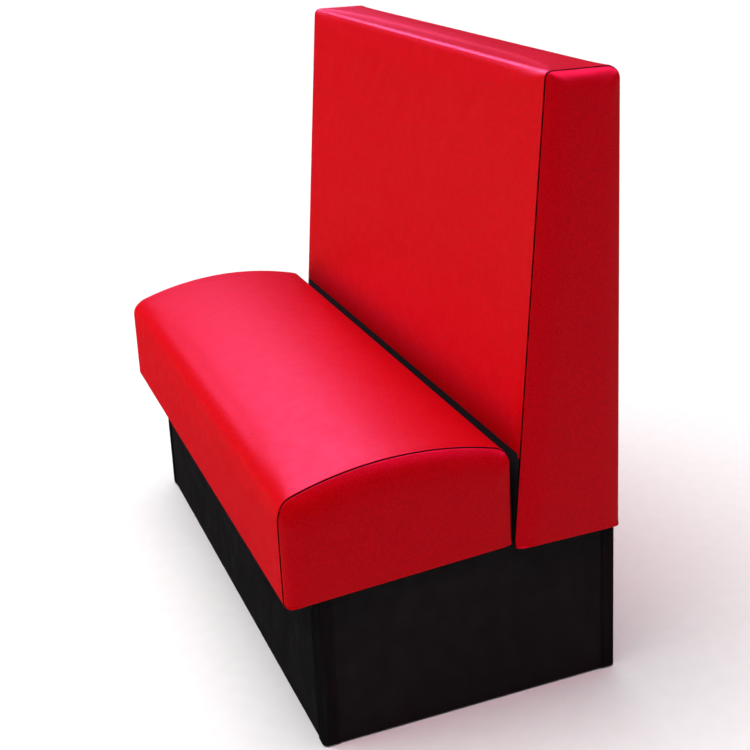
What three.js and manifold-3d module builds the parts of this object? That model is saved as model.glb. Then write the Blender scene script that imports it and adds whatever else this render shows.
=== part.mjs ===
// Single restaurant booth bench: a black plinth, a lift-off upholstered seat and a tall upholstered back.
// Millimetres, +Z up. The origin is on the floor under the middle of the bench, and a sitter faces -Y.
// Left (-X) and right (+X) are as seen by someone standing in front of the bench.
// Every outline drawn in the (y, z) plane is extruded along X, and every plan outline along Z.

import * as THREE from "three";
import { mergeVertices } from "three/addons/utils/BufferGeometryUtils.js";
import Module from "manifold-3d";

const wasm = await Module();
wasm.setup();

// Overall
const WIDTH = 1180;
const DEPTH = 610;
const HEIGHT = 1100;
const GAP = 0.3;                      // clearance between pieces that touch
const HALF_WIDTH = WIDTH / 2;
const FRONT = -DEPTH / 2;
const REAR = DEPTH / 2;

// Plinth
const END_OVERHANG = 10;              // upholstery past the plinth at each end
const SEAT_OVERHANG = 51;             // seat past the plinth at the front
const PLINTH_TOP = 298;
const PANEL = 18;                     // laminated board
const GLIDE_RADIUS = 11;
const GLIDE_HEIGHT = 3;
const TRIM = 1.5;                     // wall of the corner profile
const TRIM_LEG = 28;
const TRIM_RADIUS = 10;
const CORNER_BLOCK = 40;
const RAIL_HEIGHT = 45;
const RAIL_DEPTH = 30;
const CROSS_RAIL_FRONT = 77.5;
const CROSS_RAIL_DEPTH = 105;

// Seat
const SEAT_REAR = 100;
const SEAT_BOARD = 18;
const SEAT_BOARD_FRONT = -264.5;
const NOSE_BOTTOM = 276;              // lower edge of the seat front, below the plinth top
const NOSE_LIP = 40;                  // how far the cover returns under the nose
const NOSE_RADIUS = 12;
const CROWN_RADIUS = 600;
const CROWN_TOP = 498;
const CROWN_Y = -83;
const CROWN_STEPS = 14;
const SEAT_FRONT_CORNER = 40;         // radius of the seat's front top corner
const SEAT_REAR_CORNER = 25;
const CLEAT_WIDTH = 25;
const CLEAT_DEPTH = 30;
const CLEAT_PLAY = 2.5;
const DUST_CLOTH = 0.8;

// Back
const BACK_FOOT = 290;                // lower edge of the end panels
const BACK_FOOT_Y = 102.5;            // front face at that height
const BACK_TOP_Y = 174;               // front face carried up to the full height
const BACK_FRONT_CORNER = 14;
const BACK_REAR_CORNER = 20;
const BACK_FOAM = 30;
const BACK_WADDING = 5;
const BACK_BOARD = 6;
const TOP_PAD_BOTTOM = 1075;

// Upholstery
const COVER = 2;                      // leathercloth with its backing
const UNDER_COVER = COVER + GAP;
const END_PAD_INNER = 582;            // inside face of the end padding, clear of the plinth

// Screws that hold the back down
const SCREW_RADIUS = 4;
const SCREW_LENGTH = 80;
const SCREW_TIP = 6;
const SCREW_HEAD_RADIUS = 8;
const SCREW_HEAD_HEIGHT = 5.5;
const SCREW_X = 450;

const PLINTH_HALF_WIDTH = HALF_WIDTH - END_OVERHANG;
const PLINTH_FRONT = FRONT + SEAT_OVERHANG;
const PANEL_HALF_WIDTH = PLINTH_HALF_WIDTH - TRIM;
const PANEL_FRONT = PLINTH_FRONT + TRIM;
const PANEL_REAR = REAR - TRIM;
const INSIDE_X = PANEL_HALF_WIDTH - PANEL - GAP;
const INSIDE_FRONT = PANEL_FRONT + PANEL + GAP;
const INSIDE_REAR = PANEL_REAR - PANEL - GAP;
const RAIL_BOTTOM = PLINTH_TOP - RAIL_HEIGHT;
const RAIL_HALF_LENGTH = INSIDE_X - CORNER_BLOCK - GAP;
const SEAT_BOTTOM = PLINTH_TOP + GAP;
const SEAT_BOARD_TOP = SEAT_BOTTOM + SEAT_BOARD;
const CORE_HALF_WIDTH = END_PAD_INNER - GAP;
const COVER_HALF_WIDTH = HALF_WIDTH - COVER;
const PAD_HALF_WIDTH = COVER_HALF_WIDTH - GAP;
const BACK_BOTTOM = PLINTH_TOP + GAP;
const BACK_RAIL_TOP = BACK_BOTTOM + RAIL_HEIGHT;
const LEAN = Math.atan2(BACK_TOP_Y - BACK_FOOT_Y, HEIGHT - BACK_FOOT);
const FOAM_INNER = UNDER_COVER + BACK_FOAM;
const BOARD_INNER = FOAM_INNER + GAP + BACK_BOARD;
const RIB_INSET = BOARD_INNER + GAP;
const REAR_BOARD_REAR = REAR - UNDER_COVER - BACK_WADDING - GAP;
const RIB_REAR = REAR_BOARD_REAR - BACK_BOARD - GAP;

const SIDES = [["left", -1], ["right", 1]];

const FINISH = {
  redVinyl: new THREE.MeshStandardMaterial({ color: 0xc80014, roughness: 0.42, metalness: 0 }),
  blackLaminate: new THREE.MeshStandardMaterial({ color: 0x1a1a1b, roughness: 0.6, metalness: 0 }),
  blackPlastic: new THREE.MeshStandardMaterial({ color: 0x161616, roughness: 0.5, metalness: 0 }),
  softwood: new THREE.MeshStandardMaterial({ color: 0xcaa878, roughness: 0.75, metalness: 0 }),
  plywood: new THREE.MeshStandardMaterial({ color: 0xb98f5c, roughness: 0.7, metalness: 0 }),
  foam: new THREE.MeshStandardMaterial({ color: 0xe9e2c8, roughness: 0.95, metalness: 0 }),
  cloth: new THREE.MeshStandardMaterial({ color: 0x222222, roughness: 0.95, metalness: 0 }),
  steel: new THREE.MeshStandardMaterial({ color: 0xb8bcc0, roughness: 0.35, metalness: 1 }),
};

const bench = new THREE.Group();

function add(name, finish, geometry, x = 0, y = 0, z = 0) {
  const mesh = new THREE.Mesh(geometry, finish);
  mesh.name = name;
  mesh.position.set(x, y, z);
  bench.add(mesh);
}

// A plain board or batten between two values on each axis.
function batten([x0, x1], [y0, y1], [z0, z1]) {
  const geometry = new THREE.BoxGeometry(x1 - x0, y1 - y0, z1 - z0);
  return geometry.translate((x0 + x1) / 2, (y0 + y1) / 2, (z0 + z1) / 2);
}

function extrudeAlongZ(outline, z0, z1) {
  const options = { depth: z1 - z0, bevelEnabled: false, curveSegments: 4 };
  return new THREE.ExtrudeGeometry(outline, options).translate(0, 0, z0);
}

// Extrudes a list of (y, z) points from x0 to x1.
function extrudeAlongX(section, x0, x1) {
  const yAxis = new THREE.Vector3(0, 1, 0);
  const zAxis = new THREE.Vector3(0, 0, 1);
  const xAxis = new THREE.Vector3(1, 0, 0);
  const turn = new THREE.Matrix4().makeBasis(yAxis, zAxis, xAxis);
  return extrudeAlongZ(new THREE.Shape(section), x0, x1).applyMatrix4(turn);
}

function point(y, z) {
  return new THREE.Vector2(y, z);
}

// Points along a clockwise arc, both ends included.
function arc(y, z, radius, from, to, steps = 6) {
  return new THREE.EllipseCurve(y, z, radius, radius, from, to, true).getPoints(steps);
}

// Section of a cover: the outer face, and back along the inner one.
function coverSection(sectionAt) {
  return [...sectionAt(0), ...sectionAt(COVER).reverse()];
}

// Puts a length that starts at the inner value and ends at the outer one on the side named by the sign.
function span(sign, inner, outer) {
  return sign > 0 ? [inner, outer] : [-outer, -inner];
}

function toSolid(geometry) {
  const bare = geometry.clone();
  bare.deleteAttribute("normal");
  bare.deleteAttribute("uv");
  const merged = mergeVertices(bare);
  const vertProperties = new Float32Array(merged.attributes.position.array);
  const triVerts = new Uint32Array(merged.index.array);
  return new wasm.Manifold(new wasm.Mesh({ numProp: 3, vertProperties, triVerts }));
}

function toGeometry(solid) {
  const { vertProperties, triVerts } = solid.getMesh();
  const geometry = new THREE.BufferGeometry();
  geometry.setAttribute("position", new THREE.BufferAttribute(vertProperties, 3));
  geometry.setIndex(new THREE.BufferAttribute(triVerts, 1));
  return geometry;
}

// Drills a clearance hole for each screw of one row through a rail.
function drill(rail, screwY) {
  let solid = toSolid(rail);
  for (const x of [-SCREW_X, SCREW_X]) {
    const bit = new THREE.CylinderGeometry(SCREW_RADIUS + GAP, SCREW_RADIUS + GAP, 2 * PLINTH_TOP, 16);
    bit.rotateX(Math.PI / 2).translate(x, screwY, PLINTH_TOP);
    solid = solid.subtract(toSolid(bit));
  }
  return toGeometry(solid);
}

// ---------------------------------------------------------------- plinth

// Front or rear panel in plan: its two outer corners are rounded to sit inside the corner profiles.
function longPanelOutline(outerY, inwards) {
  const radius = TRIM_RADIUS - TRIM - GAP;
  const edgeX = PANEL_HALF_WIDTH - GAP;
  const faceY = outerY + inwards * GAP;
  const innerY = outerY + inwards * PANEL;
  const arcY = faceY + inwards * radius;
  const outward = inwards > 0 ? -Math.PI / 2 : Math.PI / 2;
  const outline = new THREE.Shape();
  outline.moveTo(edgeX, innerY);
  outline.lineTo(-edgeX, innerY);
  outline.absarc(-edgeX + radius, arcY, radius, Math.PI, outward, inwards < 0);
  outline.absarc(edgeX - radius, arcY, radius, outward, 0, inwards < 0);
  outline.lineTo(edgeX, innerY);
  return outline;
}

// Corner profile in plan, drawn for a corner at the plan origin with its legs along +x and +y.
function trimOutline() {
  const outline = new THREE.Shape();
  outline.moveTo(TRIM_LEG, 0);
  outline.lineTo(TRIM_LEG, TRIM);
  outline.absarc(TRIM_RADIUS, TRIM_RADIUS, TRIM_RADIUS - TRIM, -Math.PI / 2, -Math.PI, true);
  outline.lineTo(TRIM, TRIM_LEG);
  outline.lineTo(0, TRIM_LEG);
  outline.absarc(TRIM_RADIUS, TRIM_RADIUS, TRIM_RADIUS, -Math.PI, -Math.PI / 2, false);
  return outline;
}

function addPlinthPanels() {
  const height = [GLIDE_HEIGHT, PLINTH_TOP];
  add("plinth_front_panel", FINISH.blackLaminate, extrudeAlongZ(longPanelOutline(PANEL_FRONT, 1), ...height));
  add("plinth_rear_panel", FINISH.blackLaminate, extrudeAlongZ(longPanelOutline(PANEL_REAR, -1), ...height));
  for (const [side, sign] of SIDES) {
    const thickness = span(sign, PANEL_HALF_WIDTH - PANEL, PANEL_HALF_WIDTH - GAP);
    const panel = batten(thickness, [INSIDE_FRONT, INSIDE_REAR], height);
    add(`plinth_end_panel_${side}`, FINISH.blackLaminate, panel);
  }
}

// The four corners share one profile, one block and one glide each, turned a quarter turn at a time.
function addPlinthCorners() {
  const corners = [
    ["front_left", -1, PLINTH_FRONT, 0],
    ["front_right", 1, PLINTH_FRONT, 1],
    ["rear_right", 1, REAR, 2],
    ["rear_left", -1, REAR, 3],
  ];
  for (const [name, sign, cornerY, quarterTurns] of corners) {
    const trim = extrudeAlongZ(trimOutline(), GLIDE_HEIGHT, PLINTH_TOP);
    trim.rotateZ(quarterTurns * Math.PI / 2);
    add(`plinth_corner_trim_${name}`, FINISH.blackPlastic, trim, sign * PLINTH_HALF_WIDTH, cornerY, 0);

    const atFront = cornerY < 0;
    const blockFront = atFront ? INSIDE_FRONT : INSIDE_REAR - CORNER_BLOCK;
    const blockX = span(sign, INSIDE_X - CORNER_BLOCK, INSIDE_X);
    const block = batten(blockX, [blockFront, blockFront + CORNER_BLOCK], [GLIDE_HEIGHT, PLINTH_TOP]);
    add(`plinth_corner_block_${name}`, FINISH.softwood, block);

    const glideX = sign * (INSIDE_X - CORNER_BLOCK / 2);
    add(`floor_glide_${name}`, FINISH.blackPlastic, glide(), glideX, blockFront + CORNER_BLOCK / 2, 0);
  }
}

function glide() {
  const top = GLIDE_HEIGHT - GAP;
  const profile = [
    new THREE.Vector2(0, 0),
    new THREE.Vector2(GLIDE_RADIUS - top / 2, 0),
    new THREE.Vector2(GLIDE_RADIUS, top / 2),
    new THREE.Vector2(GLIDE_RADIUS, top),
    new THREE.Vector2(0, top),
  ];
  return new THREE.LatheGeometry(profile, 24).rotateX(Math.PI / 2);
}

function addPlinthFrame() {
  const railX = [-RAIL_HALF_LENGTH, RAIL_HALF_LENGTH];
  const railZ = [RAIL_BOTTOM, PLINTH_TOP];
  const frontRail = batten(railX, [INSIDE_FRONT, INSIDE_FRONT + RAIL_DEPTH], railZ);
  add("plinth_front_rail", FINISH.softwood, frontRail);

  const rearRail = batten(railX, [INSIDE_REAR - RAIL_DEPTH, INSIDE_REAR], railZ);
  add("plinth_rear_rail", FINISH.softwood, drill(rearRail, REAR_SCREW_Y));

  const crossRailY = [CROSS_RAIL_FRONT, CROSS_RAIL_FRONT + CROSS_RAIL_DEPTH];
  const crossRail = batten([-INSIDE_X, INSIDE_X], crossRailY, railZ);
  add("plinth_cross_rail", FINISH.softwood, drill(crossRail, FRONT_SCREW_Y));

  const dividerY = [INSIDE_FRONT, INSIDE_REAR];
  const divider = batten([-PANEL / 2, PANEL / 2], dividerY, [GLIDE_HEIGHT, RAIL_BOTTOM - GAP]);
  add("plinth_divider", FINISH.plywood, divider);
  add("floor_glide_centre_front", FINISH.blackPlastic, glide(), 0, INSIDE_FRONT + CORNER_BLOCK / 2, 0);
  add("floor_glide_centre_rear", FINISH.blackPlastic, glide(), 0, INSIDE_REAR - CORNER_BLOCK / 2, 0);
}

// ---------------------------------------------------------------- seat

// Centre of a rounded corner that runs smoothly into the seat's crown.
function crownCorner(y, radius) {
  const reach = CROWN_RADIUS - radius;
  const z = CROWN_TOP - CROWN_RADIUS + Math.sqrt(reach ** 2 - (y - CROWN_Y) ** 2);
  const angle = Math.atan2(z - (CROWN_TOP - CROWN_RADIUS), y - CROWN_Y);
  return { y, z, angle };
}

// Seat section over the top, from the front face round to the rear face.
function crownPoints(inset) {
  const front = crownCorner(FRONT + SEAT_FRONT_CORNER, SEAT_FRONT_CORNER);
  const rear = crownCorner(SEAT_REAR - SEAT_REAR_CORNER, SEAT_REAR_CORNER);
  const crownZ = CROWN_TOP - CROWN_RADIUS;
  return [
    ...arc(front.y, front.z, SEAT_FRONT_CORNER - inset, Math.PI, front.angle),
    ...arc(CROWN_Y, crownZ, CROWN_RADIUS - inset, front.angle, rear.angle, CROWN_STEPS).slice(1, -1),
    ...arc(rear.y, rear.z, SEAT_REAR_CORNER - inset, rear.angle, 0),
  ];
}

// Rounded lower front edge of the seat, from its underside to the front face.
function nosePoints(inset) {
  return arc(FRONT + NOSE_RADIUS, NOSE_BOTTOM + NOSE_RADIUS, NOSE_RADIUS - inset, -Math.PI / 2, -Math.PI);
}

// Whole seat section: round the nose, over the crown and down the rear to the board's underside.
function seatSection(inset) {
  return [...nosePoints(inset), ...crownPoints(inset), point(SEAT_REAR - inset, SEAT_BOTTOM)];
}

// The cover's long panel also returns under the nose.
function seatCoverSection(inset) {
  return [point(FRONT + NOSE_LIP, NOSE_BOTTOM + inset), ...seatSection(inset)];
}

function seatFoamSection() {
  const footZ = SEAT_BOARD_TOP + GAP;
  const front = point(FRONT + UNDER_COVER, footZ);
  return [front, ...crownPoints(UNDER_COVER), point(SEAT_REAR - UNDER_COVER, footZ)];
}

// Padding below the seat board's top: in front of the board, or down one end.
function seatEdgePadSection(rearY, rearZ) {
  const frontTop = point(FRONT + UNDER_COVER, SEAT_BOARD_TOP);
  return [...nosePoints(UNDER_COVER), frontTop, point(rearY, SEAT_BOARD_TOP), point(rearY, rearZ)];
}

function addSeat() {
  const boardY = [SEAT_BOARD_FRONT, SEAT_REAR - UNDER_COVER];
  const board = batten([-CORE_HALF_WIDTH, CORE_HALF_WIDTH], boardY, [SEAT_BOTTOM, SEAT_BOARD_TOP]);
  add("seat_board", FINISH.plywood, board);

  const foam = extrudeAlongX(seatFoamSection(), -PAD_HALF_WIDTH, PAD_HALF_WIDTH);
  add("seat_foam", FINISH.foam, foam);
  const noseRear = SEAT_BOARD_FRONT - GAP;
  const noseSection = seatEdgePadSection(noseRear, NOSE_BOTTOM + UNDER_COVER);
  add("seat_nose_pad", FINISH.foam, extrudeAlongX(noseSection, -CORE_HALF_WIDTH, CORE_HALF_WIDTH));

  const cover = extrudeAlongX(coverSection(seatCoverSection), -PAD_HALF_WIDTH, PAD_HALF_WIDTH);
  add("seat_cover_main", FINISH.redVinyl, cover);

  for (const [side, sign] of SIDES) {
    const padSection = seatEdgePadSection(SEAT_REAR - UNDER_COVER, SEAT_BOTTOM + UNDER_COVER);
    const pad = extrudeAlongX(padSection, ...span(sign, END_PAD_INNER, PAD_HALF_WIDTH));
    add(`seat_end_pad_${side}`, FINISH.foam, pad);
    const panel = extrudeAlongX(seatSection(0), ...span(sign, COVER_HALF_WIDTH, HALF_WIDTH));
    add(`seat_cover_end_${side}`, FINISH.redVinyl, panel);
  }
}

// Battens under the seat board drop inside the plinth and stop the seat from sliding about.
function addSeatUnderside() {
  const cleatZ = [PLINTH_TOP - CLEAT_DEPTH, PLINTH_TOP];
  const frontCleatY = INSIDE_FRONT + RAIL_DEPTH + CLEAT_PLAY;
  const sideCleatFront = INSIDE_FRONT + CORNER_BLOCK + CLEAT_PLAY;
  const sideCleatRear = CROSS_RAIL_FRONT - CLEAT_PLAY;
  const sideCleatX = INSIDE_X - CLEAT_PLAY;
  const frontCleatX = sideCleatX - 2 * CLEAT_WIDTH - CLEAT_PLAY;

  const frontCleat = batten([-frontCleatX, frontCleatX], [frontCleatY, frontCleatY + CLEAT_WIDTH], cleatZ);
  add("seat_cleat_front", FINISH.softwood, frontCleat);
  for (const [side, sign] of SIDES) {
    const cleatX = span(sign, sideCleatX - CLEAT_WIDTH, sideCleatX);
    add(`seat_cleat_${side}`, FINISH.softwood, batten(cleatX, [sideCleatFront, sideCleatRear], cleatZ));
  }

  const clothX = sideCleatX - CLEAT_WIDTH - CLEAT_PLAY;
  const clothY = [frontCleatY + CLEAT_WIDTH + CLEAT_PLAY, sideCleatRear];
  add("seat_dust_cloth", FINISH.cloth, batten([-clothX, clothX], clothY, [PLINTH_TOP - DUST_CLOTH, PLINTH_TOP]));
}

// ---------------------------------------------------------------- back

// Where the leaning front face, set in by inset, stands at height z.
function backFrontY(z, inset) {
  return BACK_FOOT_Y + (z - BACK_FOOT) * Math.tan(LEAN) + inset / Math.cos(LEAN);
}

// Back section from the front face at footZ over the top and down to the rear face at footZ.
function backSection(inset, footZ) {
  const frontCornerZ = HEIGHT - BACK_FRONT_CORNER;
  const frontCornerY = backFrontY(frontCornerZ, BACK_FRONT_CORNER);
  const rearCornerZ = HEIGHT - BACK_REAR_CORNER;
  return [
    point(backFrontY(footZ, inset), footZ),
    ...arc(frontCornerY, frontCornerZ, BACK_FRONT_CORNER - inset, Math.PI - LEAN, Math.PI / 2),
    ...arc(REAR - BACK_REAR_CORNER, rearCornerZ, BACK_REAR_CORNER - inset, Math.PI / 2, 0),
    point(REAR - inset, footZ),
  ];
}

// A layer parallel to the leaning front face, between two insets and two heights.
function leaningLayer(outerInset, innerInset, z0, z1) {
  return [
    point(backFrontY(z0, outerInset), z0),
    point(backFrontY(z1, outerInset), z1),
    point(backFrontY(z1, innerInset), z1),
    point(backFrontY(z0, innerInset), z0),
  ];
}

// A piece of the frame that fills the section from the front board to the rear board.
function fullDepthSection(z0, z1) {
  return [
    point(backFrontY(z0, RIB_INSET), z0),
    point(backFrontY(z1, RIB_INSET), z1),
    point(RIB_REAR, z1),
    point(RIB_REAR, z0),
  ];
}

function addBackFrame() {
  const coreX = [-CORE_HALF_WIDTH, CORE_HALF_WIDTH];
  const railZ = [BACK_BOTTOM, BACK_RAIL_TOP];
  const frontRailY = backFrontY(BACK_RAIL_TOP, RIB_INSET);
  const frontRail = batten(coreX, [frontRailY, frontRailY + RAIL_HEIGHT], railZ);
  add("back_bottom_rail_front", FINISH.softwood, drill(frontRail, FRONT_SCREW_Y));
  const rearRail = batten(coreX, [RIB_REAR - RAIL_HEIGHT, RIB_REAR], railZ);
  add("back_bottom_rail_rear", FINISH.softwood, drill(rearRail, REAR_SCREW_Y));

  const topRailBottom = TOP_PAD_BOTTOM - PANEL;
  add("back_top_rail", FINISH.plywood, extrudeAlongX(fullDepthSection(topRailBottom, TOP_PAD_BOTTOM), ...coreX));

  const ribSection = fullDepthSection(BACK_RAIL_TOP + GAP, topRailBottom - GAP);
  const ribCentre = CORE_HALF_WIDTH - PANEL / 2;
  for (const [place, x] of [["left", -ribCentre], ["centre", 0], ["right", ribCentre]]) {
    add(`back_rib_${place}`, FINISH.plywood, extrudeAlongX(ribSection, x - PANEL / 2, x + PANEL / 2));
  }

  const midHeight = (BACK_RAIL_TOP + topRailBottom) / 2;
  const midRailTop = midHeight + RAIL_HEIGHT;
  const midRailSection = leaningLayer(RIB_INSET, RIB_INSET + RAIL_DEPTH, midHeight, midRailTop);
  for (const [side, sign] of SIDES) {
    const length = span(sign, PANEL / 2 + GAP, CORE_HALF_WIDTH - PANEL - GAP);
    add(`back_mid_rail_${side}`, FINISH.softwood, extrudeAlongX(midRailSection, ...length));
  }

  const boardLayer = leaningLayer(FOAM_INNER + GAP, BOARD_INNER, BACK_BOTTOM, TOP_PAD_BOTTOM);
  add("back_front_board", FINISH.plywood, extrudeAlongX(boardLayer, ...coreX));
  const rearBoardY = [REAR_BOARD_REAR - BACK_BOARD, REAR_BOARD_REAR];
  add("back_rear_board", FINISH.plywood, batten(coreX, rearBoardY, [BACK_BOTTOM, TOP_PAD_BOTTOM]));
}

function addBackUpholstery() {
  const coreX = [-CORE_HALF_WIDTH, CORE_HALF_WIDTH];
  const foamLayer = leaningLayer(UNDER_COVER, FOAM_INNER, BACK_BOTTOM, TOP_PAD_BOTTOM);
  add("back_front_foam", FINISH.foam, extrudeAlongX(foamLayer, ...coreX));
  const topPad = extrudeAlongX(backSection(UNDER_COVER, TOP_PAD_BOTTOM + GAP), ...coreX);
  add("back_top_pad", FINISH.foam, topPad);
  const waddingY = [REAR - UNDER_COVER - BACK_WADDING, REAR - UNDER_COVER];
  add("back_rear_wadding", FINISH.foam, batten(coreX, waddingY, [BACK_BOTTOM, TOP_PAD_BOTTOM]));

  const coverPoints = coverSection((inset) => backSection(inset, BACK_BOTTOM));
  add("back_cover_main", FINISH.redVinyl, extrudeAlongX(coverPoints, -PAD_HALF_WIDTH, PAD_HALF_WIDTH));
  for (const [side, sign] of SIDES) {
    const padSection = backSection(UNDER_COVER, BACK_FOOT + COVER);
    const pad = extrudeAlongX(padSection, ...span(sign, END_PAD_INNER, PAD_HALF_WIDTH));
    add(`back_end_pad_${side}`, FINISH.foam, pad);
    const panel = extrudeAlongX(backSection(0, BACK_FOOT), ...span(sign, COVER_HALF_WIDTH, HALF_WIDTH));
    add(`back_cover_end_${side}`, FINISH.redVinyl, panel);
  }
}

// Round-headed screw with its head's underside at z = 0, pointing down.
function screw() {
  const profile = [
    new THREE.Vector2(0, -SCREW_LENGTH),
    new THREE.Vector2(SCREW_RADIUS, -SCREW_LENGTH + SCREW_TIP),
    new THREE.Vector2(SCREW_RADIUS, 0),
    new THREE.Vector2(SCREW_HEAD_RADIUS, 0),
    new THREE.Vector2(SCREW_HEAD_RADIUS, SCREW_HEAD_HEIGHT / 2),
    new THREE.Vector2(SCREW_HEAD_RADIUS / 2, SCREW_HEAD_HEIGHT),
    new THREE.Vector2(0, SCREW_HEAD_HEIGHT),
  ];
  return new THREE.LatheGeometry(profile, 12).rotateX(Math.PI / 2);
}

function addBackScrews() {
  for (const [row, y] of [["front", FRONT_SCREW_Y], ["rear", REAR_SCREW_Y]]) {
    for (const [side, sign] of SIDES) {
      add(`back_screw_${row}_${side}`, FINISH.steel, screw(), sign * SCREW_X, y, BACK_RAIL_TOP + GAP);
    }
  }
}

// Each row of screws runs down the middle of the timber that the back and the plinth share.
const CROSS_RAIL_REAR = CROSS_RAIL_FRONT + CROSS_RAIL_DEPTH;
const FRONT_SCREW_Y = (backFrontY(BACK_RAIL_TOP, RIB_INSET) + CROSS_RAIL_REAR) / 2;
const REAR_SCREW_Y = INSIDE_REAR - RAIL_DEPTH / 2;

addPlinthPanels();
addPlinthCorners();
addPlinthFrame();
addSeat();
addSeatUnderside();
addBackFrame();
addBackUpholstery();
addBackScrews();

export default bench;
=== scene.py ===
"""Single restaurant booth bench: the looks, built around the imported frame.

Metres, +Z up, origin on the floor under the middle. A sitter faces -Y and the right end is +X.
Each cushion is one closed form, swept along X from a section in the (y, z) plane. A pressure simulation
swells it between its pinned seams, and a sewn groove separates the long panel from each end panel.
Sizes inside the cushions' tables are in millimetres, and MM turns them into metres.
"""

import math

import bmesh
import bpy
import numpy as np
from mathutils import Euler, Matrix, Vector


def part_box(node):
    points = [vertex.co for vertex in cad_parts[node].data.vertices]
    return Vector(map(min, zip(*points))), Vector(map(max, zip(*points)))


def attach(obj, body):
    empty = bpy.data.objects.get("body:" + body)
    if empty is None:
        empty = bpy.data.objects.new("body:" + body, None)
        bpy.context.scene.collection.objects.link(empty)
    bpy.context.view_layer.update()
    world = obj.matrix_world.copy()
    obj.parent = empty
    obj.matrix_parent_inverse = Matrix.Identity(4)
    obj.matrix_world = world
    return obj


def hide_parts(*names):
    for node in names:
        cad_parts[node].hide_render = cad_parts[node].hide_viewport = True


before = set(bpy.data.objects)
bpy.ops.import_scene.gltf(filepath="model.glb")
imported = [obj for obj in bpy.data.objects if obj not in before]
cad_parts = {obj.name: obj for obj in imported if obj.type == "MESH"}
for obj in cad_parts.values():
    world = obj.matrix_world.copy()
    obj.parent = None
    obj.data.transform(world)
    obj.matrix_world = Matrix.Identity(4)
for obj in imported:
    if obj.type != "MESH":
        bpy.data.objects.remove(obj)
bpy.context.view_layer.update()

MM = 0.001

# ------------------------------------------------------------------ camera, floor and light

CAMERA_PLACE = (2.4778, -0.7942, 1.4181)
CAMERA_ANGLES = (73.163, 1.714, 66.290)  # degrees
CAMERA_LENS = 65.413                     # mm, on a 36 mm sensor
CAMERA_SHIFT = (-0.1122, -0.1365)
FLOOR_SIZE = 60.0
FLOOR_COLOUR = (0.93, 0.93, 0.93, 1)
ROOM_LIGHT = (0.13, 0.12, 0.13, 1)       # what fills the shadows
ROOM_GLOSS = (0.30, 0.09, 0.20, 1)       # what shows in a glossy surface above the horizon
ROOM_SEEN = (1.0, 1.0, 1.0, 1)           # the plain backdrop behind the floor's far edge
GLOSS_RISE = 0.35                        # how high above the horizon the gloss reaches its full strength
MIDDLE = (0, 0, 0.55)                    # what most lights point at


def add_camera():
    camera = bpy.data.objects.new("camera", bpy.data.cameras.new("camera"))
    bpy.context.scene.collection.objects.link(camera)
    camera.location = CAMERA_PLACE
    camera.rotation_euler = Euler([math.radians(a) for a in CAMERA_ANGLES], "XYZ")
    camera.data.sensor_width = 36.0
    camera.data.lens = CAMERA_LENS
    camera.data.shift_x, camera.data.shift_y = CAMERA_SHIFT
    camera.data.clip_start, camera.data.clip_end = 0.01, 200.0
    bpy.context.scene.camera = camera


def add_floor():
    """A pale floor. Its material gives glossy rays nothing, so that it lights but isn't mirrored."""
    half = FLOOR_SIZE / 2
    mesh = bpy.data.meshes.new("floor")
    corners = [(-half, -half, 0), (half, -half, 0), (half, half, 0), (-half, half, 0)]
    mesh.from_pydata(corners, [], [(0, 1, 2, 3)])
    floor = bpy.data.objects.new("floor", mesh)
    bpy.context.scene.collection.objects.link(floor)
    graph = Graph("pale_floor", {"Roughness": 0.9, "Specular IOR Level": 0.1})
    speckle = graph.noise(scale=30, detail=3)
    shade = graph.blend(speckle, FLOOR_COLOUR, (0.95, 0.95, 0.95, 1))
    graph.link(shade, graph.shader.inputs["Base Color"])
    unseen = graph.node("ShaderNodeMixShader")
    graph.link(graph.node("ShaderNodeLightPath").outputs["Is Glossy Ray"], unseen.inputs["Fac"])
    graph.link(graph.shader.outputs["BSDF"], unseen.inputs[1])
    graph.link(unseen.outputs["Shader"], graph.tree.nodes["Material Output"].inputs["Surface"])
    mesh.materials.append(graph.material)


def add_light(name, kind, energy, place, target, colour=(1, 1, 1), diffuse=True, glossy=True,
              **settings):
    light = bpy.data.lights.new(name, kind)
    light.energy = energy
    light.color = colour
    for key, value in settings.items():
        setattr(light, key, value)
    holder = bpy.data.objects.new(name, light)
    bpy.context.scene.collection.objects.link(holder)
    holder.visible_diffuse, holder.visible_glossy = diffuse, glossy
    holder.location = place
    holder.rotation_euler = (Vector(place) - Vector(target)).to_track_quat("Z", "Y").to_euler()


def add_lights():
    """A wide overhead key and a low fill in front light the bench. The left and rim boxes only gloss it."""
    add_light("key", "SUN", 3.3, (-0.5, -0.55, 3.0), MIDDLE, glossy=False, angle=math.radians(70))
    add_light("fill", "AREA", 42, (-1.3, -2.7, 0.3), (0, -0.3, 0.25), glossy=False,
              shape="RECTANGLE", size=2.4, size_y=0.5)
    add_light("left", "AREA", 230, (-3.4, -0.2, 3.6), MIDDLE, colour=(1.0, 0.3, 0.75), diffuse=False,
              shape="RECTANGLE", size=2.6, size_y=2.0)
    add_light("rim", "AREA", 800, (1.6, 1.2, 3.6), MIDDLE, colour=(1.0, 0.09, 0.3), diffuse=False,
              shape="RECTANGLE", size=2.0, size_y=2.0)


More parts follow.
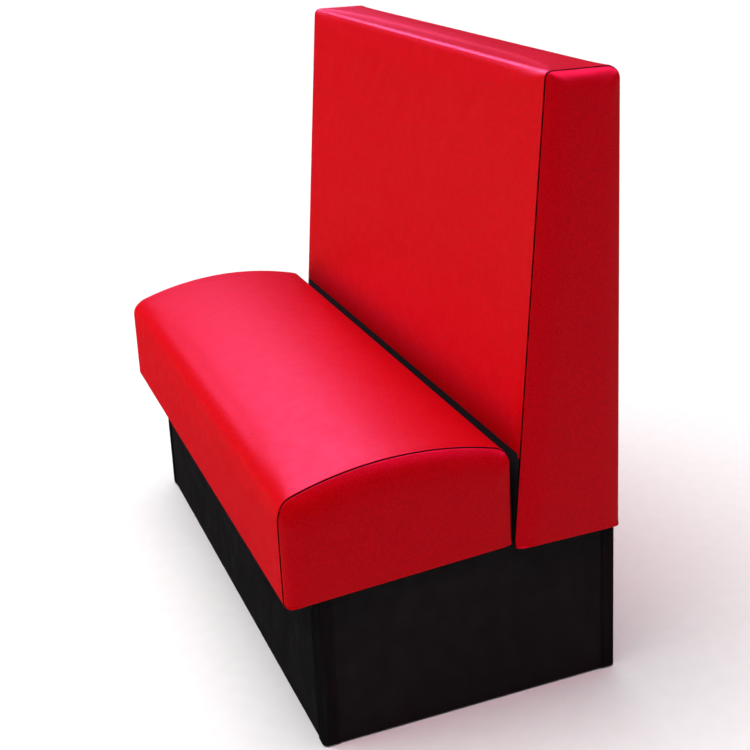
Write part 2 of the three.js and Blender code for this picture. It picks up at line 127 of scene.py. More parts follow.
def add_room():
    """An even dim room that a glossy surface sees as dark below the horizon, and a camera as white."""
    world = bpy.data.worlds.new("room")
    bpy.context.scene.world = world
    world.use_nodes = True
    world.cycles.sampling_method = "NONE"    # so that every ray that meets the room knows its own kind
    nodes, links = world.node_tree.nodes, world.node_tree.links
    nodes["Background"].inputs["Color"].default_value = ROOM_LIGHT
    seen = nodes.new("ShaderNodeBackground")
    seen.inputs["Color"].default_value = ROOM_SEEN
    gloss = nodes.new("ShaderNodeBackground")
    gloss.inputs["Color"].default_value = ROOM_GLOSS
    height = nodes.new("ShaderNodeSeparateXYZ")
    links.new(nodes.new("ShaderNodeTexCoord").outputs["Generated"], height.inputs["Vector"])
    rise = nodes.new("ShaderNodeMapRange")
    rise.inputs["From Min"].default_value, rise.inputs["From Max"].default_value = 0.0, GLOSS_RISE
    links.new(height.outputs["Z"], rise.inputs["Value"])
    links.new(rise.outputs["Result"], gloss.inputs["Strength"])
    path = nodes.new("ShaderNodeLightPath")
    surface = nodes["Background"].outputs["Background"]
    for ray, background in (("Is Glossy Ray", gloss), ("Is Camera Ray", seen)):
        mix = nodes.new("ShaderNodeMixShader")
        links.new(path.outputs[ray], mix.inputs["Fac"])
        links.new(surface, mix.inputs[1])
        links.new(background.outputs["Background"], mix.inputs[2])
        surface = mix.outputs["Shader"]
    links.new(surface, nodes["World Output"].inputs["Surface"])
    bpy.context.scene.view_settings.view_transform = "Standard"


# ------------------------------------------------------------------ finishes


class Graph:
    """A procedural material: one Principled shader, and the nodes that feed it."""

    def __init__(self, name, constants):
        self.material = bpy.data.materials.new(name)
        self.material.use_nodes = True
        self.tree = self.material.node_tree
        self.shader = self.tree.nodes["Principled BSDF"]
        for socket, value in constants.items():
            self.shader.inputs[socket].default_value = value
        self.place = self.node("ShaderNodeTexCoord").outputs["Object"]

    def node(self, kind, **settings):
        made = self.tree.nodes.new(kind)
        for key, value in settings.items():
            setattr(made, key, value)
        return made

    def link(self, source, target):
        self.tree.links.new(source, target)

    def fill(self, node, values):
        """Sets each named input to a number or colour, or links it to another node's output."""
        for socket, value in values.items():
            if isinstance(value, bpy.types.NodeSocket):
                self.link(value, node.inputs[socket])
            else:
                node.inputs[socket].default_value = value
        return node

    def stretched(self, scale):
        """The place on the piece, stretched along each axis."""
        mapping = self.node("ShaderNodeMapping")
        self.fill(mapping, {"Vector": self.place, "Scale": scale})
        return mapping.outputs["Vector"]

    def noise(self, scale, detail=2.0, place=None):
        node = self.node("ShaderNodeTexNoise")
        self.fill(node, {"Vector": place or self.place, "Scale": scale, "Detail": detail})
        return node.outputs["Fac"]

    def cells(self, scale, place=None):
        node = self.node("ShaderNodeTexVoronoi", feature="F1")
        self.fill(node, {"Vector": place or self.place, "Scale": scale})
        return node.outputs["Distance"]

    def waves(self, scale, axis, distortion, place=None):
        node = self.node("ShaderNodeTexWave", bands_direction=axis)
        values = {"Vector": place or self.place, "Scale": scale, "Distortion": distortion}
        self.fill(node, {**values, "Detail": 2.0})
        return node.outputs["Fac"]

    def ranged(self, value, low, high, start=0.35, end=0.65):
        """value, taken from start..end to low..high and held there."""
        node = self.node("ShaderNodeMapRange")
        limits = {"From Min": start, "From Max": end, "To Min": low, "To Max": high}
        self.fill(node, {"Value": value, **limits})
        return node.outputs["Result"]

    def blend(self, value, low, high, start=0.35, end=0.65):
        """A colour from low to high as value goes from start to end."""
        ramp = self.node("ShaderNodeValToRGB")
        first, last = ramp.color_ramp.elements
        first.position, first.color = start, low
        last.position, last.color = end, high
        self.link(value, ramp.inputs["Fac"])
        return ramp.outputs["Color"]

    def bump(self, height, depth, strength=1.0, under=None):
        node = self.node("ShaderNodeBump")
        self.fill(node, {"Height": height, "Distance": depth, "Strength": strength})
        if under:
            self.link(under, node.inputs["Normal"])
        return node.outputs["Normal"]

    def finish(self, colour=None, roughness=None, normal=None):
        for socket, source in (("Base Color", colour), ("Roughness", roughness), ("Normal", normal)):
            if source:
                self.link(source, self.shader.inputs[socket])
        return self.material


def red_vinyl():
    """Smooth leathercloth: fine pebble grain, soft unevenness of the padding, slight mottling."""
    graph = Graph("red_vinyl", {
        "Specular IOR Level": 0.18,
        "Specular Tint": (1.0, 0.12, 0.35, 1),
        "Sheen Weight": 0.03,
        "Sheen Roughness": 0.4,
        "Sheen Tint": (1.0, 0.08, 0.4, 1),
    })
    mottling = graph.noise(scale=300, detail=3)
    colour = graph.blend(mottling, (0.50, 0.0002, 0.001, 1), (0.64, 0.0005, 0.002, 1))
    roughness = graph.ranged(graph.noise(scale=35, detail=3), 0.36, 0.44)
    soft = graph.bump(graph.noise(scale=9, detail=1), 1.0 * MM, 0.08)
    pebble = graph.bump(graph.cells(scale=620), 0.12 * MM, 0.5, under=soft)
    return graph.finish(colour, roughness, pebble)


def seam_painted_shade():
    """The fold at the bottom of a seam, near-black with a fine grain: painted shade of the groove."""
    graph = Graph("seam_painted_shade", {"Specular IOR Level": 0.1})
    fold_grain = graph.noise(scale=900, detail=1)
    colour = graph.blend(fold_grain, (0.001, 0.0005, 0.0005, 1), (0.006, 0.001, 0.001, 1))
    graph.shader.inputs["Roughness"].default_value = 0.8
    return graph.finish(colour, normal=graph.bump(fold_grain, 0.2 * MM))


def black_laminate():
    """Matt black laminated board with a faint cloudy texture and fine scuffs."""
    graph = Graph("black_laminate", {"Specular IOR Level": 0.12})
    cloud = graph.noise(scale=26, detail=6)
    colour = graph.blend(cloud, (0.0095, 0.0095, 0.0095, 1), (0.0125, 0.0125, 0.0125, 1))
    scuffs = graph.noise(scale=60, detail=4, place=graph.stretched((1, 1, 0.06)))
    roughness = graph.ranged(scuffs, 0.42, 0.56)
    texture = graph.bump(graph.noise(scale=700, detail=2), 0.05 * MM, 0.4)
    return graph.finish(colour, roughness, texture)


def corner_plastic():
    """Satin black extruded profile, with faint draw lines down its length."""
    graph = Graph("corner_plastic", {"Specular IOR Level": 0.2})
    lines = graph.noise(scale=500, detail=2, place=graph.stretched((1, 1, 0.01)))
    colour = graph.blend(lines, (0.005, 0.005, 0.005, 1), (0.009, 0.009, 0.009, 1))
    roughness = graph.ranged(graph.noise(scale=40), 0.36, 0.46)
    return graph.finish(colour, roughness, graph.bump(lines, 0.03 * MM, 0.5))


def softwood(grain):
    """Planed pine; grain is the stretch that makes its figure run along the piece."""
    graph = Graph("softwood", {"Specular IOR Level": 0.3})
    place = graph.stretched(grain)
    rings = graph.waves(scale=18, axis="Z", distortion=5, place=place)
    figure = graph.noise(scale=160, detail=4, place=place)
    rings_colour = graph.blend(rings, (0.66, 0.42, 0.21, 1), (0.50, 0.27, 0.11, 1), 0.2, 0.95)
    roughness = graph.ranged(figure, 0.6, 0.78)
    return graph.finish(rings_colour, roughness, graph.bump(figure, 0.2 * MM, 0.6))


def plywood(across):
    """Birch plywood; across is the axis that its veneers are stacked along."""
    graph = Graph("plywood", {"Specular IOR Level": 0.3})
    place = graph.stretched((1, 1, 1))
    plies = graph.waves(scale=105, axis=across, distortion=0.3, place=place)
    figure = graph.noise(scale=25, detail=6, place=graph.stretched((0.25, 1, 1)))
    colour = graph.blend(plies, (0.50, 0.33, 0.18, 1), (0.62, 0.44, 0.26, 1), 0.3, 0.7)
    roughness = graph.ranged(figure, 0.55, 0.75)
    return graph.finish(colour, roughness, graph.bump(figure, 0.2 * MM, 0.5))


def foam():
    graph = Graph("foam", {"Roughness": 0.95, "Specular IOR Level": 0.1})
    pores = graph.cells(scale=700)
    colour = graph.blend(pores, (0.45, 0.40, 0.26, 1), (0.78, 0.74, 0.58, 1), 0.1, 0.5)
    return graph.finish(colour, normal=graph.bump(pores, 0.5 * MM))


def dust_cloth():
    """Black spun-bonded cloth: a mat of fibres with a grid of small welds."""
    graph = Graph("dust_cloth", {"Specular IOR Level": 0.1, "Sheen Weight": 0.02})
    fibres = graph.noise(scale=900, detail=4, place=graph.stretched((1, 0.35, 1)))
    colour = graph.blend(fibres, (0.002, 0.002, 0.002, 1), (0.011, 0.011, 0.012, 1))
    graph.shader.inputs["Roughness"].default_value = 0.9
    return graph.finish(colour, normal=graph.bump(fibres, 0.2 * MM))


def glide_plastic():
    graph = Graph("glide_plastic", {"Specular IOR Level": 0.4})
    haze = graph.noise(scale=300, detail=3)
    colour = graph.blend(haze, (0.008, 0.008, 0.008, 1), (0.016, 0.016, 0.016, 1))
    return graph.finish(colour, graph.ranged(haze, 0.4, 0.6), graph.bump(haze, 0.05 * MM))


def steel():
    graph = Graph("steel", {"Metallic": 1.0})
    haze = graph.noise(scale=400, detail=3)
    colour = graph.blend(haze, (0.42, 0.43, 0.45, 1), (0.55, 0.56, 0.58, 1))
    return graph.finish(colour, graph.ranged(haze, 0.28, 0.42), graph.bump(haze, 0.04 * MM))


# ------------------------------------------------------------------ outlines in the (y, z) plane


def arc(centre, radius, start, end, steps=32):
    """Points on an arc, from one angle to another, in degrees from +Y towards +Z."""
    angles = np.radians(np.linspace(start, end, steps + 1))
    return np.array(centre) + radius * np.column_stack([np.cos(angles), np.sin(angles)])


def first_half(path):
    return path[: len(path) // 2 + 1]


def second_half(path):
    return path[len(path) // 2:]


def joined(*paths):
    """The paths end to end, with no point twice."""
    points = np.vstack(paths)
    apart = np.linalg.norm(np.diff(points, axis=0), axis=1) > 1e-9
    return points[np.concatenate([[True], apart])]


def lengths(path):
    """How far along the path each of its points is."""
    return np.concatenate([[0], np.cumsum(np.linalg.norm(np.diff(path, axis=0), axis=1))])


def resampled(path, shares):
    """The points at these shares of the path's length."""
    along = lengths(path)
    return np.column_stack([np.interp(shares * along[-1], along, axis) for axis in path.T])


def graded(steps, strength):
    """Shares from 0 to 1 that crowd towards both ends as strength goes from 0 to 1."""
    even = np.linspace(0, 1, steps + 1)
    return (1 - strength) * even + strength * (1 - np.cos(np.pi * even)) / 2


def through(corners, steps):
    """A path of that many steps through all the corners, its steps shared out by length."""
    legs = np.linalg.norm(np.diff(corners, axis=0), axis=1)
    share = legs / legs.sum() * (steps - len(legs))
    counts = 1 + np.floor(share).astype(int)
    for leg in np.argsort(np.floor(share) - share)[: steps - counts.sum()]:
        counts[leg] += 1
    runs = [np.linspace(a, b, n + 1) for a, b, n in zip(corners[:-1], corners[1:], counts)]
    return joined(*runs)


# ------------------------------------------------------------------ cushions


def smooth(share):
    """0 to 1 with no corner at either end."""
    share = np.clip(share, 0, 1)
    return share * share * (3 - 2 * share)


def face_outwards(mesh):
    work = bmesh.new()
    work.from_mesh(mesh)
    bmesh.ops.recalc_face_normals(work, faces=work.faces)
    work.to_mesh(mesh)
    work.free()


def places(mesh):
    found = np.empty(len(mesh.vertices) * 3)
    mesh.vertices.foreach_get("co", found)
    return found.reshape(-1, 3)


def swell(cushion, limit):
    """Blows the cushion up with its seams and foot pinned. A point never moves as far as its limit."""
    rest = places(cushion.data)
    pins = cushion.vertex_groups.new(name="pins")
    pins.add(np.flatnonzero(limit == 0).tolist(), 1.0, "REPLACE")
    cloth = cushion.modifiers.new("cloth", "CLOTH")
    cloth.settings.use_pressure = True
    cloth.settings.uniform_pressure_force = PRESSURE
    cloth.settings.vertex_group_mass = pins.name
    cloth.settings.effector_weights.gravity = 0
    cloth.settings.mass = CLOTH_MASS
    cloth.point_cache.frame_start, cloth.point_cache.frame_end = 1, FRAMES
    scene = bpy.context.scene
    for moment in range(1, FRAMES + 1):
        scene.frame_set(moment)
    moved = places(cushion.evaluated_get(bpy.context.evaluated_depsgraph_get()).data)
    cushion.modifiers.remove(cloth)
    cushion.vertex_groups.remove(pins)
    scene.frame_set(1)
    shift = moved - rest
    reach = np.linalg.norm(shift, axis=1)
    held = np.where(limit > 0, limit / (limit + reach + 1e-12), 0)
    cushion.data.vertices.foreach_set("co", (rest + shift * held[:, None]).ravel())
    cushion.data.update()


CLEAR = 0.3 * MM                # between the padding and the boards inside it
END_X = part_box("seat_cover_end_right")[1].x
CORE_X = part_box("seat_end_pad_right")[0].x
STEP_WIDTH = 0.2 * MM           # from the last loop round the frame to the first one past it
SWELL = 1.5 * MM                # each end panel starts this far inside its final place
LIP_WIDTH = 6 * MM              # from the middle part's last loop to the seam
PRESSURE = 4.0
CLOTH_MASS = 0.3
FRAMES = 20
GRADE = 0.85
FOOT_STEPS = 3
MIDDLE_STATIONS = 64
MIDDLE_GRADE = 0.6
END_STATIONS = 3
SPREAD = 8 * MM                 # over which a value that changes at a corner is smoothed
EDGE_PITCH = 2 * MM             # between the edge points that an end panel rises from
SMOOTHINGS = 4

# A seam seen in section: (in from the outline, along X from the seam), in mm, from the long panel's lip
# down one wall of the groove and up the other to the end panel's lip.
SEAM = ((0.0, -2.8), (0.1, -1.8), (0.5, -1.0), (1.4, -0.7), (3.0, -0.3),
        (3.2, 0.5), (2.4, 1.0), (1.9, 1.5), (1.9, 2.4))
SEAM_SHADE_STEPS = range(2, 6)        # the steps of SEAM at the groove's fold, which get the near-black painted shade
FOLD_RADIUS = 2 * MM            # where an end panel turns under


FRONT_SIDE, TOP_SIDE, REAR_SIDE, UNDER_SIDE = range(4)
VINYL_KIND, SEAM_SHADE_KIND, FOAM_KIND, SHADE_LINING_KIND = range(4)
# the last finish, black cloth, is also painted shade on the faces in the gap between seat and back
CUSHION_FINISHES = ("red_vinyl", "seam_painted_shade", "foam", "dust_cloth")


class Cushion:
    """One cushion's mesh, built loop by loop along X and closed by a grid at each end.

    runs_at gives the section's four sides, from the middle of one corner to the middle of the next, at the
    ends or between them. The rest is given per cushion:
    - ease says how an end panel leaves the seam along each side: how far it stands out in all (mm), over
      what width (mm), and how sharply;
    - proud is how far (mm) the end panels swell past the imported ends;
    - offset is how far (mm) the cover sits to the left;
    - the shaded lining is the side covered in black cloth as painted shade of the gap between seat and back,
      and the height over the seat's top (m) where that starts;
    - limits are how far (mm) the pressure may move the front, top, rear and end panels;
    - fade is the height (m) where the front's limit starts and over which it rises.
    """

    def __init__(self, name, runs_at, upright_steps, level_steps, ease, proud, offset, shade_lined,
                 limits, fade):
        self.name, self.upright_steps, self.level_steps = name, upright_steps, level_steps
        self.end_loop, self.middle_loop = (self.sampled(runs_at(at_end)) for at_end in (True, False))
        self.count = len(self.end_loop)
        self.end_x = END_X - SWELL + proud * MM
        self.side_of = np.repeat(range(4), [upright_steps, level_steps] * 2)
        spread = self.spreading(SPREAD)
        stand, width, power = (spread @ np.array(ease)[self.side_of]).T
        self.stand, self.width, self.power = stand * MM, width * MM, power
        self.sewn = spread @ (self.side_of != UNDER_SIDE)
        self.reach = np.minimum(CORE_X, self.end_x - self.stand - LIP_WIDTH)
        self.offset = offset * MM
        self.limits, self.fade = np.array(limits) * MM, fade
        # black cloth below this height on one side: painted shade of the gap between seat and back
        shade_lined_side, shade_lined_drop = shade_lined
        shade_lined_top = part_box("seat_cover_main")[1].z + shade_lined_drop
        self.shade_lined = (self.side_of == shade_lined_side) & (self.end_loop[:, 1] < shade_lined_top)

    def sampled(self, runs):
        front, top, rear, (foot, corners, toe) = runs
        upright, level = graded(self.upright_steps, GRADE), graded(self.level_steps, GRADE)
        foot, toe = (resampled(part, np.linspace(0, 1, FOOT_STEPS + 1)) for part in (foot, toe))
        underside = joined(foot, through(corners, self.level_steps - 2 * FOOT_STEPS), toe)
        loop = [resampled(front, upright), resampled(top, level), resampled(rear, upright), underside]
        return np.vstack([run[:-1] for run in loop])

    def spreading(self, distance):
        """Weights that smooth a value round the end loop over about this distance."""
        along = lengths(np.vstack([self.end_loop, self.end_loop[:1]]))
        apart = np.abs(along[:-1, None] - along[None, :-1])
        apart = np.minimum(apart, along[-1] - apart)
        reach = (along[1:] - np.roll(along[:-1], 1)) % along[-1]
        weights = np.exp(-((apart / distance) ** 2)) * reach
        return weights / weights.sum(1, keepdims=True)

    def inward(self):
        """Unit vectors in the section's plane from the end loop into the cushion."""
        ahead = np.roll(self.end_loop, -1, 0) - self.end_loop
        ahead /= np.linalg.norm(ahead, axis=1, keepdims=True)
        along = ahead + np.roll(ahead, 1, 0)
        along /= np.linalg.norm(along, axis=1, keepdims=True)
        return np.column_stack([along[:, 1], -along[:, 0]])

    def seam_loops(self):
        """The loops from the long panel's lip to the end panel's, at the right end."""
        turn = np.radians(np.linspace(0, 90, len(SEAM)))
        for (seam_in, seam_x), angle in zip(SEAM, turn):
            fold_in, fold_x = FOLD_RADIUS * (1 - math.cos(angle)), FOLD_RADIUS * (math.sin(angle) - 1)
            inset = self.sewn * seam_in * MM + (1 - self.sewn) * fold_in
            x = self.end_x - self.stand + self.sewn * seam_x * MM + (1 - self.sewn) * fold_x
            yield np.column_stack([x, self.end_loop + inset[:, None] * self.inward()])

    def half_loops(self):
        """All loops from the first one past the middle part to the end panel's edge."""
        seam = list(self.seam_loops())
        inner = self.reach + STEP_WIDTH
        for share in np.arange(END_STATIONS) / END_STATIONS:
            x = inner + share * (seam[0][:, 0] - inner)
            yield np.column_stack([x, self.end_loop])
        yield from seam

    def end_panel(self, edge):
        """A grid of points over an end panel, whose border is the loop edge."""
        tall, wide = self.upright_steps, self.level_steps
        left, top = edge[: tall + 1], edge[tall: tall + wide + 1]
        right = edge[tall + wide: 2 * tall + wide + 1][::-1]
        bottom = np.vstack([edge[2 * tall + wide:], edge[:1]])[::-1]
        u, v = graded(wide, GRADE)[:, None, None], graded(tall, GRADE)[None, :, None]
        corners = ((1 - u) * (1 - v) * left[0] + (1 - u) * v * left[-1]
                   + u * (1 - v) * right[0] + u * v * right[-1])
        grid = (1 - u) * left + u * right + (1 - v) * bottom[:, None] + v * top[:, None] - corners
        grid[1:-1, 1:-1, 0] = self.panel_x(edge, grid[1:-1, 1:-1, 1:])
        for _ in range(SMOOTHINGS):
            near = grid[:-2, 1:-1, 0] + grid[2:, 1:-1, 0] + grid[1:-1, :-2, 0] + grid[1:-1, 2:, 0]
            grid[1:-1, 1:-1, 0] = 0.5 * grid[1:-1, 1:-1, 0] + 0.125 * near
        return grid

    def panel_x(self, edge, places):
        """How far out the end panel stands at each place, rising from its edge."""
        closed = np.column_stack([edge, self.width, self.power])
        closed = np.vstack([closed, closed[:1]])
        along = lengths(closed[:, 1:3])
        shares = np.arange(0, along[-1], EDGE_PITCH)
        x, y, z, width, power = (np.interp(shares, along, column) for column in closed.T)
        away = np.hypot(places[..., None, 0] - y, places[..., None, 1] - z)
        rise = 1 - (1 - np.minimum(away / width, 1)) ** power
        return (x + (self.end_x - x) * rise).min(-1)

    def build(self, finishes):
        """The cushion's object before the pressure. Also notes how far each of its points may move."""
        half = list(self.half_loops())
        mirrored = np.array([-1, 1, 1])
        shares = 2 * graded(MIDDLE_STATIONS, MIDDLE_GRADE) - 1
        middle = [np.column_stack([share * self.reach, self.middle_loop]) for share in shares]
        loops = np.array([loop * mirrored for loop in half[::-1]] + middle + half)
        loops[..., 0] -= self.offset * self.slide_weights(len(loops), len(half))
        inner = self.end_panel(half[-1])[1:-1, 1:-1].reshape(-1, 3)
        points = np.vstack([loops.reshape(-1, 3), inner * mirrored, inner])
        points[loops.size // 3:, 0] -= self.offset

        faces, kinds = self.loop_faces(len(loops), len(half))
        for inner_start, loop in ((0, 0), (len(inner), len(loops) - 1)):
            faces += self.panel_faces(loops.size // 3 + inner_start, loop * self.count)
        kinds += [VINYL_KIND] * (len(faces) - len(kinds))

        mesh = bpy.data.meshes.new(self.name)
        mesh.from_pydata(points.tolist(), [], faces)
        for material in finishes:
            mesh.materials.append(material)
        mesh.polygons.foreach_set("material_index", kinds)
        mesh.shade_smooth()
        face_outwards(mesh)
        cushion = bpy.data.objects.new(self.name, mesh)
        bpy.context.scene.collection.objects.link(cushion)

        limit = np.zeros((len(loops), self.count))
        limit[len(half): -len(half)] = np.append(self.limits[:3], 0)[self.side_of]
        low, rise = self.fade
        in_front = self.side_of == FRONT_SIDE
        limit[:, in_front] *= smooth((self.end_loop[in_front, 1] - low) / rise)
        self.limit = np.concatenate([limit.ravel(), np.full(2 * len(inner), self.limits[3])])
        return cushion

    def slide_weights(self, loop_count, half_count):
        """1 where the cover slides along the bench by its offset, and 0 where it lines the cavity."""
        weights = np.ones((loop_count, self.count))
        hidden = self.hidden_steps()
        weights[half_count: -half_count, hidden] = 0
        for k in range(half_count):
            for loop in (half_count - 1 - k, loop_count - half_count + k):
                weights[loop, hidden] = min(k / END_STATIONS, 1)
        return weights

    def hidden_steps(self):
        """The loop's points that lie against the wooden frame."""
        start = 2 * self.upright_steps + self.level_steps + FOOT_STEPS + 1
        return np.arange(start, self.count - FOOT_STEPS)

    def loop_faces(self, loop_count, half_count):
        """Faces between neighbouring loops, and each one's place in the list of finishes."""
        faces, kinds = [], []
        hidden = set(self.hidden_steps())
        for k in range(loop_count - 1):
            from_end = min(k, loop_count - 2 - k)
            seam_step = len(SEAM) - 2 - from_end
            for i in range(self.count):
                j = (i + 1) % self.count
                a, b = k * self.count, (k + 1) * self.count
                faces.append((a + i, a + j, b + j, b + i))
                # the groove's fold gets the near-black seam finish, which is painted shade
                in_seam = seam_step in SEAM_SHADE_STEPS and min(self.sewn[i], self.sewn[j]) > 0.5
                at_frame = from_end >= half_count - 1 and not hidden.isdisjoint((i, j))
                # painted shade: black cloth on the shaded side's faces in the gap between seat and back
                shade_lining = SHADE_LINING_KIND if self.shade_lined[i] and self.shade_lined[j] else VINYL_KIND
                kinds.append(SEAM_SHADE_KIND if in_seam else FOAM_KIND if at_frame else shade_lining)
        return faces, kinds

    def panel_faces(self, first_inner, first_edge):
        """Faces of an end panel's grid, whose border is one loop and whose inner points follow the loops."""
        tall, wide = self.upright_steps, self.level_steps
        ids = np.empty((wide + 1, tall + 1), int)
        ids[0, :] = np.arange(tall + 1)
        ids[:, -1] = tall + np.arange(wide + 1)
        ids[-1, ::-1] = tall + wide + np.arange(tall + 1)
        ids[::-1, 0] = (2 * tall + wide + np.arange(wide + 1)) % self.count
        ids += first_edge
        ids[1:-1, 1:-1] = first_inner + np.arange((wide - 1) * (tall - 1)).reshape(wide - 1, tall - 1)
        return [(ids[u, v], ids[u + 1, v], ids[u + 1, v + 1], ids[u, v + 1])
                for u in range(wide) for v in range(tall)]


END_FOOT_RADIUS = 5 * MM        # lower edges, where an end panel turns under
LONG_FOOT_RADIUS = 1.8 * MM     # lower edges of the long panel
NOSE_RADIUS = 12 * MM
SEAT_FRONT_CORNER = 40 * MM
SEAT_REAR_CORNER = 25 * MM
CROWN_RADIUS = 600 * MM
CROWN_Y = -83 * MM


def seat_runs(at_end):
    low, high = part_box("seat_cover_main")
    board_low, board_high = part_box("seat_board")
    foot_z = board_low.z
    foot_radius = END_FOOT_RADIUS if at_end else LONG_FOOT_RADIUS

    def crown_corner(y, radius):
        crown_z = high.z - CROWN_RADIUS
        z = crown_z + math.sqrt((CROWN_RADIUS - radius) ** 2 - (y - CROWN_Y) ** 2)
        return (y, z), math.degrees(math.atan2(z - crown_z, y - CROWN_Y))

    lead_centre, lead_angle = crown_corner(low.y + SEAT_FRONT_CORNER, SEAT_FRONT_CORNER)
    tail_centre, tail_angle = crown_corner(high.y - SEAT_REAR_CORNER, SEAT_REAR_CORNER)
    nose = arc((low.y + NOSE_RADIUS, low.z + NOSE_RADIUS), NOSE_RADIUS, 270, 180)
    lead = arc(lead_centre, SEAT_FRONT_CORNER, 180, lead_angle)
    crown = arc((CROWN_Y, high.z - CROWN_RADIUS), CROWN_RADIUS, lead_angle, tail_angle, 120)
    tail = arc(tail_centre, SEAT_REAR_CORNER, tail_angle, 0)
    foot = arc((high.y - foot_radius, foot_z + foot_radius), foot_radius, 0, -90)

    front_edge, rear_edge = board_low.y - CLEAR, board_high.y + CLEAR
    ceiling = board_high.z + CLEAR
    slope = (foot_z - low.z) / (high.y - low.y)
    if at_end:
        corners = [foot[-1], (front_edge, low.z + slope * (front_edge - low.y)), nose[0]]
    else:
        corners = [foot[-1], (rear_edge, foot_z), (rear_edge, ceiling), (front_edge, ceiling),
                   (front_edge, low.z), nose[0]]
    return (
        joined(second_half(nose), first_half(lead)),
        joined(second_half(lead), crown, first_half(tail)),
        joined(second_half(tail), first_half(foot)),
        (second_half(foot), np.array(corners), first_half(nose)),
    )


BACK_FRONT_CORNER = 14 * MM
BACK_REAR_CORNER = 20 * MM
BACK_TOP_Y = 174 * MM           # the front face, carried up to the full height
BACK_PADDING = 32.3 * MM        # cover and foam in front of the front board


def back_runs(at_end):
    low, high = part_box("back_cover_end_right")
    foot_z = low.z if at_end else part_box("back_cover_main")[0].z
    foot_radius = END_FOOT_RADIUS if at_end else LONG_FOOT_RADIUS
    slope = (BACK_TOP_Y - low.y) / (high.z - low.z)
    lean = math.atan(slope)

    def front_y(z, inset=0.0):
        return low.y + (z - low.z) * slope + inset / math.cos(lean)

    upright = 180 - math.degrees(lean)
    lead_z = high.z - BACK_FRONT_CORNER
    lead = arc((front_y(lead_z, BACK_FRONT_CORNER), lead_z), BACK_FRONT_CORNER, upright, 90)
    tail = arc((high.y - BACK_REAR_CORNER, high.z - BACK_REAR_CORNER), BACK_REAR_CORNER, 90, 0)
    foot = arc((high.y - foot_radius, foot_z + foot_radius), foot_radius, 0, -90)
    toe_z = foot_z + foot_radius
    toe = arc((front_y(toe_z, foot_radius), toe_z), foot_radius, 270, upright)

    if at_end:
        corners = [foot[-1], toe[0]]
    else:
        rear_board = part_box("back_rear_board")[1]
        inner_rear, ceiling = rear_board.y + CLEAR, rear_board.z + CLEAR
        corners = [foot[-1], (inner_rear, foot_z), (inner_rear, ceiling),
                   (front_y(ceiling, BACK_PADDING), ceiling), (front_y(foot_z, BACK_PADDING), foot_z),
                   toe[0]]
    return (
        joined(second_half(toe), first_half(lead)),
        joined(second_half(lead), first_half(tail)),
        joined(second_half(tail), first_half(foot)),
        (second_half(foot), np.array(corners), first_half(toe)),
    )


def add_cushion(shape, body, replaced):
    finishes = [FINISH[key] for key in CUSHION_FINISHES]
    cushion = shape.build(finishes)
    swell(cushion, shape.limit)
    cushion.modifiers.new("smooth", "SUBSURF").levels = 1
    cushion.modifiers["smooth"].render_levels = 1
    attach(cushion, body)
    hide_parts(*replaced)
    return cushion


def end_nodes(cushion):
    """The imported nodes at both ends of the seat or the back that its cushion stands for."""
    return [f"{cushion}_{part}_{side}" for part in ("end_pad", "cover_end") for side in ("left", "right")]


def add_cushions():
    seat = Cushion("seat_cushion", seat_runs, upright_steps=26, level_steps=46,
                   ease=((14, 20, 2.0), (21, 42, 2.4), (8, 12, 2.0), (0, 20, 2.0)), proud=11, offset=10,
                   shade_lined=(REAR_SIDE, -0.022), limits=(2.5, 3.0, 0.0, 2.5), fade=(0.28, 0.06))
    seat_long_nodes = ["seat_foam", "seat_nose_pad", "seat_cover_main"]
    add_cushion(seat, "seat", seat_long_nodes + end_nodes("seat"))

    back = Cushion("back_cushion", back_runs, upright_steps=60, level_steps=26,
                   ease=((14, 28, 1.5), (15, 28, 2.4), (7, 11, 2.0), (0, 20, 2.0)), proud=8, offset=0,
                   shade_lined=(FRONT_SIDE, -0.034), limits=(3.0, 2.0, 1.5, 2.5), fade=(0.46, 0.12))
    back_long_nodes = ["back_front_foam", "back_top_pad", "back_rear_wadding", "back_cover_main"]
    add_cushion(back, "base", back_long_nodes + end_nodes("back"))


# ------------------------------------------------------------------ dust cloth under the seat

CLOTH_STEPS = (48, 20)
CLOTH_THICKNESS = 0.5 * MM
CLOTH_SAG = 2.5 * MM
CLOTH_PUCKER = 0.5 * MM
STAPLE_PITCH = 75 * MM
STAPLE_IN = 6 * MM              # from the cloth's edge
STAPLE_FROM_END = 30 * MM
STAPLE = (10 * MM, 1.0 * MM, 0.6 * MM)
STAPLE_EDGE = 0.2 * MM


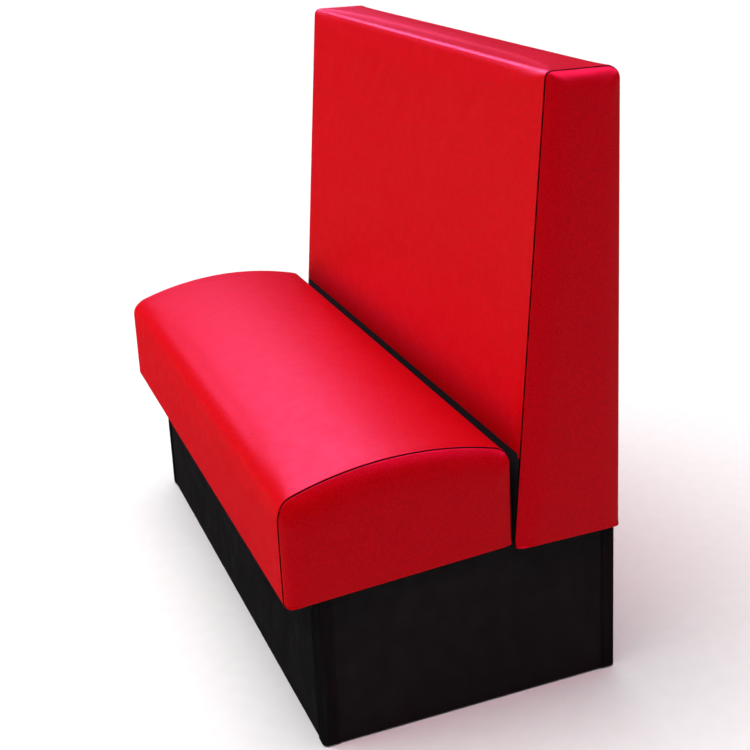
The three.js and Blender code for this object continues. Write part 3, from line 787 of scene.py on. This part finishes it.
def add_dust_cloth():
    """A stapled sheet that sags a little between its edges, and puckers between its staples."""
    low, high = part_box("seat_dust_cloth")
    size = high - low
    across, along = (np.linspace(0, 1, steps + 1) for steps in CLOTH_STEPS)
    u, v = np.meshgrid(across, along, indexing="ij")
    edge = np.minimum(np.minimum(u, 1 - u) * size.x, np.minimum(v, 1 - v) * size.y)
    sag = CLOTH_SAG * np.sin(np.pi * u) * np.sin(np.pi * v)
    between = np.sin(np.pi * u * size.x / STAPLE_PITCH) ** 2
    band = smooth(2 * edge / STAPLE_PITCH) * (1 - smooth(edge / STAPLE_PITCH))
    pucker = CLOTH_PUCKER * between * band
    points = np.stack([low.x + u * size.x, low.y + v * size.y, high.z - sag - pucker], axis=-1)
    row = CLOTH_STEPS[1] + 1
    faces = [(k, k + row, k + row + 1, k + 1) for i in range(CLOTH_STEPS[0])
             for k in range(i * row, i * row + CLOTH_STEPS[1])]
    mesh = bpy.data.meshes.new("seat_dust_sheet")
    mesh.from_pydata(points.reshape(-1, 3).tolist(), [], faces)
    mesh.materials.append(FINISH["dust_cloth"])
    mesh.shade_smooth()
    face_outwards(mesh)
    cloth = bpy.data.objects.new("seat_dust_sheet", mesh)
    bpy.context.scene.collection.objects.link(cloth)
    thick = cloth.modifiers.new("thickness", "SOLIDIFY")
    thick.thickness, thick.offset = CLOTH_THICKNESS, 0.0
    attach(cloth, "seat")
    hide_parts("seat_dust_cloth")
    add_staples(low, high)


def add_staples(low, high):
    """Two rows of staple crowns, pressed into the cloth along its front and rear edges."""
    work = bmesh.new()
    count = int((high.x - low.x - 2 * STAPLE_IN) / STAPLE_PITCH)
    for y in (low.y + STAPLE_IN, high.y - STAPLE_IN):
        for x in np.linspace(low.x + STAPLE_FROM_END, high.x - STAPLE_FROM_END, count):
            made = bmesh.ops.create_cube(work, size=1.0)["verts"]
            bmesh.ops.scale(work, vec=STAPLE, verts=made)
            bmesh.ops.translate(work, vec=(x, y, high.z - CLOTH_THICKNESS), verts=made)
    bmesh.ops.bevel(work, geom=work.edges[:], offset=STAPLE_EDGE, segments=2, affect="EDGES")
    mesh = bpy.data.meshes.new("seat_dust_staples")
    work.to_mesh(mesh)
    work.free()
    mesh.materials.append(FINISH["steel"])
    mesh.shade_smooth()
    staples = bpy.data.objects.new("seat_dust_staples", mesh)
    bpy.context.scene.collection.objects.link(staples)
    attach(staples, "seat")
    return staples


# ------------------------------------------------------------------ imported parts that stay


def finish_packed_parts():
    uprights = ("plinth_divider", "back_rib_")
    leaning = ("back_front_board", "back_rear_board")
    rules = [
        (("plinth_front_panel", "plinth_rear_panel", "plinth_end_panel"), "black_laminate"),
        (("plinth_corner_trim",), "corner_plastic"),
        (("floor_glide",), "glide_plastic"),
        (("back_screw",), "steel"),
        (("plinth_corner_block",), "softwood_upright"),
        (("seat_cleat_left", "seat_cleat_right"), "softwood_deep"),
        (uprights, "plywood_x"),
        (leaning, "plywood_y"),
        (("seat_board", "back_top_rail"), "plywood_z"),
        (("plinth_", "back_", "seat_"), "softwood_wide"),
    ]
    for name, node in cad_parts.items():
        if node.hide_render:
            continue
        material = next(FINISH[key] for starts, key in rules if name.startswith(starts))
        node.data.materials.clear()
        node.data.materials.append(material)


add_camera()
FINISH = {
    "red_vinyl": red_vinyl(), "seam_painted_shade": seam_painted_shade(), "foam": foam(),
    "black_laminate": black_laminate(), "corner_plastic": corner_plastic(),
    "glide_plastic": glide_plastic(), "steel": steel(), "dust_cloth": dust_cloth(),
    "softwood_wide": softwood((0.06, 1, 1)), "softwood_deep": softwood((1, 0.06, 1)),
    "softwood_upright": softwood((1, 1, 0.06)),
    "plywood_x": plywood("X"), "plywood_y": plywood("Y"), "plywood_z": plywood("Z"),
}
add_floor()
add_lights()
add_room()
add_cushions()
add_dust_cloth()
finish_packed_parts()
